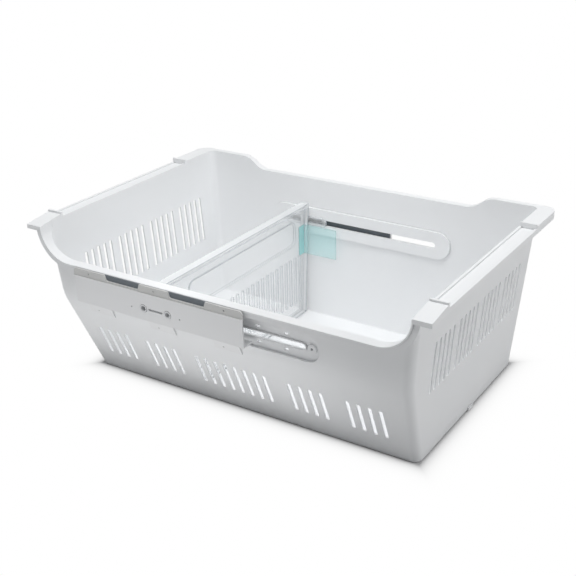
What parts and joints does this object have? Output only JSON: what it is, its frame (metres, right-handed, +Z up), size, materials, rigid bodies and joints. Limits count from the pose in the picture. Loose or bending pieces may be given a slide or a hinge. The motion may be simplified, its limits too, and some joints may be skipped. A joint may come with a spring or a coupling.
{
  "type": "freezer basket",
  "caption": "White moulded freezer basket with vented walls, side flanges and a clear divider that slides along slots in the front and rear walls",
  "frame": {"origin": "centre of the bounding box of the whole part, on the surface it stands on", "axes": "+X along the long front wall to the right as seen from the front, +Y from the front wall to the rear wall, +Z up"},
  "size_m": [0.72, 0.482, 0.2915],
  "materials": {
    "tub": "smooth white moulded plastic",
    "divider": "clear moulded plastic",
    "runner": "smooth white low-friction plastic",
    "carriage": "satin white moulded plastic",
    "glide": "matt dark grey glide strip",
    "tab": "translucent aqua sheet"
  },
  "bodies": {
    "basket": {"basket": "tub"},
    "divider": {"divider_panel": "divider", "front_runner": "runner", "rear_runner": "runner", "front_carriage": "carriage", "rear_carriage": "carriage", "front_glide_strip": "glide", "rear_glide_strip": "glide", "divider_tab": "tab"}
  },
  "joints": [
    {"name": "divider_slide", "type": "slide", "parent": "basket", "child": "divider", "axis": [1, 0, 0], "range_m": [-0.0075, 0.2275]}
  ]
}
